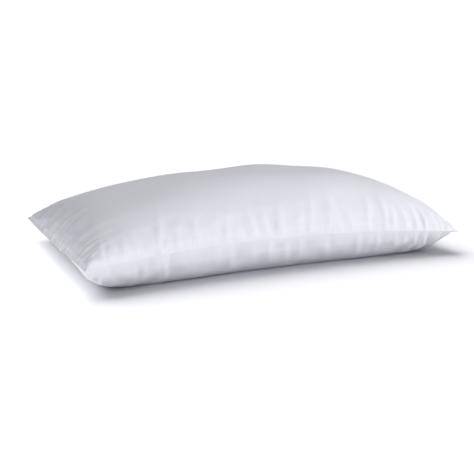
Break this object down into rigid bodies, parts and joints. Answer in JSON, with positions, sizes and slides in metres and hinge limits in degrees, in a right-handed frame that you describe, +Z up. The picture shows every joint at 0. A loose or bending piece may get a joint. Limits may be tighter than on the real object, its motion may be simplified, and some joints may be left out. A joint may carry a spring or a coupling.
{
  "type": "bed pillow",
  "caption": "Plain rectangular bed pillow: a knife-edge woven casing sewn all round, stuffed with loose fibre, lying flat.",
  "frame": {"origin": "middle of the underside, on the surface that the pillow lies on", "axes": "+X to the end closed after filling, +Y to the back long side, +Z up to the crown"},
  "size_m": [0.7116, 0.461, 0.152],
  "materials": {
    "casing_cloth": "white close-woven cotton, soft and matt",
    "fibre": "white crimped polyester fibre, loose and springy",
    "sewing_thread": "white spun polyester thread",
    "label_ribbon": "white satin ribbon, blank"
  },
  "bodies": {
    "lower_casing": {"casing_bottom_panel": "casing_cloth", "fibre_fill": "fibre", "seam_thread_front": "sewing_thread", "seam_thread_right": "sewing_thread", "seam_thread_back": "sewing_thread", "seam_thread_left": "sewing_thread", "overlock_thread_front": "sewing_thread", "overlock_thread_right": "sewing_thread", "overlock_thread_back": "sewing_thread", "overlock_thread_left": "sewing_thread", "closing_stitch": "sewing_thread"},
    "upper_casing": {"casing_top_panel": "casing_cloth"},
    "label": {"care_label": "label_ribbon"}
  },
  "joints": [
    {"name": "press", "type": "slide", "parent": "lower_casing", "child": "upper_casing", "axis": [0, 0, 1], "range_m": [-0.06, 0], "stiffness_N_per_m": 700, "springref_m": 0.004, "deforming": ["casing_top_panel", "fibre_fill"]},
    {"name": "label_flip", "type": "hinge", "parent": "lower_casing", "child": "label", "pos_m": [0.35305, 0.11997, 0.06], "axis": [-0.0225, -0.9997, 0], "range_deg": [-2, 150]}
  ]
}
